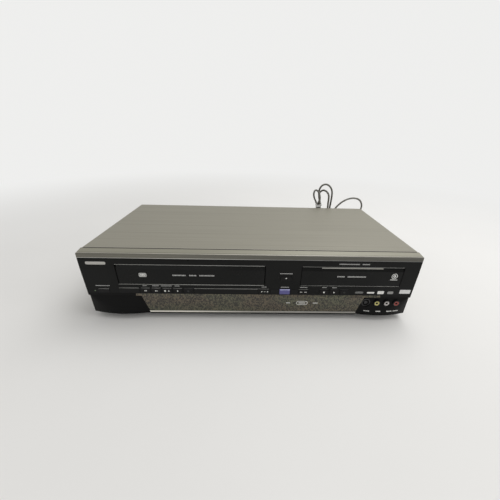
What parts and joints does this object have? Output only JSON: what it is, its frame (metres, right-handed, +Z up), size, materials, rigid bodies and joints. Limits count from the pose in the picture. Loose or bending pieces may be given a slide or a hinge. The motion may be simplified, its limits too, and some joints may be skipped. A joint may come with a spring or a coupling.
{
  "type": "disc and video cassette combination player",
  "caption": "Slim table-top player with a disc tray, a hinged cassette flap, sprung keys, front and rear sockets and a tied mains lead behind it.",
  "frame": {"origin": "on the table, under the middle of the cabinet's box without its mains lead", "axes": "+X to the user's right along the front panel, +Y to the back, +Z up; the front panel faces -Y"},
  "size_m": [0.4536, 0.267, 0.1443],
  "materials": {
    "silver_cover": "satin silver paint",
    "silver_plastic": "satin silver paint on plastic",
    "black_plastic": "smooth black moulding",
    "grey_plastic": "fine texture",
    "zinc": "zinc plated sheet",
    "steel": "turned steel",
    "alloy": "machined",
    "smoked": "smoked mirror",
    "bright_strip": "bright strip",
    "violet": "lit key",
    "rubber": "dull",
    "white_plastic": "acetal",
    "board": "solder mask",
    "board_tan": "paper laminate",
    "display": "display tube",
    "jack_plastic": "coloured insulators",
    "dark_metal": "black screw",
    "cord_rubber": "flexible vinyl",
    "pickup": "die cast"
  },
  "bodies": {
    "cabinet": {"chassis_pan": "grey_plastic", "top_cover": "silver_cover", "rear_panel": "zinc", "front_bezel": "black_plastic", "top_trim": "silver_plastic", "display_window": "smoked", "window_trim": "bright_strip", "feet": "rubber", "screws": "dark_metal", "front_board": "board", "display_module": "display", "s_video_jack": "grey_plastic", "front_jacks": "jack_plastic", "flap_spring": "steel", "deck_plate": "zinc", "side_brackets": "zinc", "lower_drum": "alloy", "tape_heads": "steel", "loader_frame": "grey_plastic", "main_board": "board", "power_board": "board_tan", "rear_jacks": "grey_plastic", "fan_frame": "grey_plastic", "strain_relief": "cord_rubber", "power_cord": "cord_rubber", "cord_hank": "cord_rubber", "plug": "cord_rubber"},
    "power_key": {"power_button": "black_plastic"},
    "rewind_key": {"rewind_button": "black_plastic"},
    "forward_key": {"forward_button": "black_plastic"},
    "stop_eject_key": {"stop_eject_button": "black_plastic"},
    "vcr_play_key": {"vcr_play_button": "black_plastic"},
    "vcr_record_key": {"vcr_record_button": "black_plastic"},
    "dubbing_key": {"dubbing_button": "violet"},
    "select_key": {"select_button": "black_plastic"},
    "dvd_stop_key": {"dvd_stop_button": "black_plastic"},
    "dvd_play_key": {"dvd_play_button": "black_plastic"},
    "dvd_record_key": {"dvd_record_button": "black_plastic"},
    "open_close_key": {"open_close_button": "black_plastic"},
    "channel_key": {"channel_rocker": "black_plastic"},
    "flap": {"cassette_flap": "black_plastic"},
    "slider": {"carriage_slider": "white_plastic"},
    "basket": {"cassette_basket": "zinc"},
    "drum_rotor": {"upper_drum": "alloy"},
    "capstan": {"capstan": "steel"},
    "pinch_arm": {"pinch_arm": "steel"},
    "pinch_roller": {"pinch_roller": "rubber"},
    "supply_reel": {"supply_reel": "white_plastic"},
    "takeup_reel": {"takeup_reel": "white_plastic"},
    "supply_guide": {"supply_guide": "steel"},
    "takeup_guide": {"takeup_guide": "steel"},
    "tray": {"disc_tray": "grey_plastic", "tray_door": "black_plastic"},
    "tray_gear": {"tray_gear": "white_plastic"},
    "drive_unit": {"traverse_frame": "alloy"},
    "turntable": {"turntable": "grey_plastic"},
    "pickup": {"optical_pickup": "pickup"},
    "lead_screw": {"lead_screw": "steel"},
    "clamp": {"disc_clamp": "white_plastic"},
    "fan": {"fan_rotor": "grey_plastic"}
  },
  "joints": [
    {"name": "power_key_press", "type": "slide", "parent": "cabinet", "child": "power_key", "axis": [0, 1, 0], "range_m": [0, 0.0006], "stiffness_N_per_m": 400, "springref_m": -0.002},
    {"name": "rewind_key_press", "type": "slide", "parent": "cabinet", "child": "rewind_key", "axis": [0, 1, 0], "range_m": [0, 0.0006], "stiffness_N_per_m": 400, "springref_m": -0.002},
    {"name": "forward_key_press", "type": "slide", "parent": "cabinet", "child": "forward_key", "axis": [0, 1, 0], "range_m": [0, 0.0006], "stiffness_N_per_m": 400, "springref_m": -0.002},
    {"name": "stop_eject_key_press", "type": "slide", "parent": "cabinet", "child": "stop_eject_key", "axis": [0, 1, 0], "range_m": [0, 0.0006], "stiffness_N_per_m": 400, "springref_m": -0.002},
    {"name": "vcr_play_key_press", "type": "slide", "parent": "cabinet", "child": "vcr_play_key", "axis": [0, 1, 0], "range_m": [0, 0.0006], "stiffness_N_per_m": 400, "springref_m": -0.002},
    {"name": "vcr_record_key_press", "type": "slide", "parent": "cabinet", "child": "vcr_record_key", "axis": [0, 1, 0], "range_m": [0, 0.0006], "stiffness_N_per_m": 400, "springref_m": -0.002},
    {"name": "dubbing_key_press", "type": "slide", "parent": "cabinet", "child": "dubbing_key", "axis": [0, 1, 0], "range_m": [0, 0.0006], "stiffness_N_per_m": 400, "springref_m": -0.002},
    {"name": "select_key_press", "type": "slide", "parent": "cabinet", "child": "select_key", "axis": [0, 1, 0], "range_m": [0, 0.0006], "stiffness_N_per_m": 400, "springref_m": -0.002},
    {"name": "dvd_stop_key_press", "type": "slide", "parent": "cabinet", "child": "dvd_stop_key", "axis": [0, 1, 0], "range_m": [0, 0.0006], "stiffness_N_per_m": 400, "springref_m": -0.002},
    {"name": "dvd_play_key_press", "type": "slide", "parent": "cabinet", "child": "dvd_play_key", "axis": [0, 1, 0], "range_m": [0, 0.0006], "stiffness_N_per_m": 400, "springref_m": -0.002},
    {"name": "dvd_record_key_press", "type": "slide", "parent": "cabinet", "child": "dvd_record_key", "axis": [0, 1, 0], "range_m": [0, 0.0006], "stiffness_N_per_m": 400, "springref_m": -0.002},
    {"name": "open_close_key_press", "type": "slide", "parent": "cabinet", "child": "open_close_key", "axis": [0, 1, 0], "range_m": [0, 0.0006], "stiffness_N_per_m": 400, "springref_m": -0.002},
    {"name": "channel_rocker_tilt", "type": "hinge", "parent": "cabinet", "child": "channel_key", "pos_m": [0.0152, -0.1067, 0.0445], "axis": [0, 0, 1], "range_deg": [-2.5, 2.5], "stiffness_Nm_per_rad": 0.02},
    {"name": "flap_hinge", "type": "hinge", "parent": "cabinet", "child": "flap", "pos_m": [-0.079, -0.1053, 0.0798], "axis": [1, 0, 0], "range_deg": [0, 85], "stiffness_Nm_per_rad": 0.01, "springref_deg": -34.38},
    {"name": "carriage_in_out", "type": "slide", "parent": "cabinet", "child": "slider", "axis": [0, 1, 0], "range_m": [0, 0.036]},
    {"name": "carriage_down_up", "type": "slide", "parent": "slider", "child": "basket", "axis": [0, 0, -1], "range_m": [0, 0.02]},
    {"name": "drum_spin", "type": "hinge", "parent": "cabinet", "child": "drum_rotor", "pos_m": [-0.079, 0.05, 0.033], "axis": [0.1045, 0, 0.9945], "continuous": true},
    {"name": "capstan_spin", "type": "hinge", "parent": "cabinet", "child": "capstan", "pos_m": [-0.032, 0.005, 0.029], "axis": [0, 0, 1], "continuous": true},
    {"name": "pinch_arm_swing", "type": "hinge", "parent": "cabinet", "child": "pinch_arm", "pos_m": [-0.007, 0.022, 0.029], "axis": [0, 0, 1], "range_deg": [0, 25]},
    {"name": "pinch_roller_spin", "type": "hinge", "parent": "pinch_arm", "child": "pinch_roller", "pos_m": [-0.03226, 0.02341, 0.029], "axis": [0, 0, 1], "continuous": true},
    {"name": "supply_reel_spin", "type": "hinge", "parent": "cabinet", "child": "supply_reel", "pos_m": [-0.1255, -0.038, 0.029], "axis": [0, 0, 1], "continuous": true},
    {"name": "takeup_reel_spin", "type": "hinge", "parent": "cabinet", "child": "takeup_reel", "pos_m": [-0.0325, -0.038, 0.029], "axis": [0, 0, 1], "continuous": true},
    {"name": "supply_guide_load", "type": "slide", "parent": "cabinet", "child": "supply_guide", "axis": [-0.2905, 0.9569, 0], "range_m": [0, 0.058]},
    {"name": "takeup_guide_load", "type": "slide", "parent": "cabinet", "child": "takeup_guide", "axis": [0.2905, 0.9569, 0], "range_m": [0, 0.058]},
    {"name": "tray_slide", "type": "slide", "parent": "cabinet", "child": "tray", "axis": [0, -1, 0], "range_m": [0, 0.133]},
    {"name": "tray_gear_spin", "type": "hinge", "parent": "cabinet", "child": "tray_gear", "pos_m": [0.0889, -0.0836, 0.054], "axis": [0, 0, 1], "continuous": true},
    {"name": "drive_unit_lift", "type": "hinge", "parent": "cabinet", "child": "drive_unit", "pos_m": [0.1299, 0.052, 0.055], "axis": [1, 0, 0], "range_deg": [-5, 0]},
    {"name": "turntable_spin", "type": "hinge", "parent": "drive_unit", "child": "turntable", "pos_m": [0.1299, -0.03959, 0.05201], "axis": [0, -0.0872, 0.9962], "continuous": true},
    {"name": "pickup_slide", "type": "slide", "parent": "drive_unit", "child": "pickup", "axis": [0, 0.9962, 0.0872], "range_m": [0, 0.032]},
    {"name": "lead_screw_spin", "type": "hinge", "parent": "drive_unit", "child": "lead_screw", "pos_m": [0.1559, -0.01931, 0.04976], "axis": [0, 0.9962, 0.0872], "continuous": true},
    {"name": "disc_clamp_spin", "type": "hinge", "parent": "cabinet", "child": "clamp", "pos_m": [0.1299, -0.0395, 0.067], "axis": [0, 0, 1], "continuous": true},
    {"name": "fan_spin", "type": "hinge", "parent": "cabinet", "child": "fan", "pos_m": [0.104, 0.0963, 0.056], "axis": [0, 1, 0], "continuous": true}
  ],
  "couplings": [
    {"joint": "tray_gear_spin", "follows": "tray_slide", "rad_per_m": 111.11},
    {"joint": "takeup_guide_load", "follows": "supply_guide_load", "ratio": 1},
    {"joint": "lead_screw_spin", "follows": "pickup_slide", "rad_per_m": 1496}
  ]
}
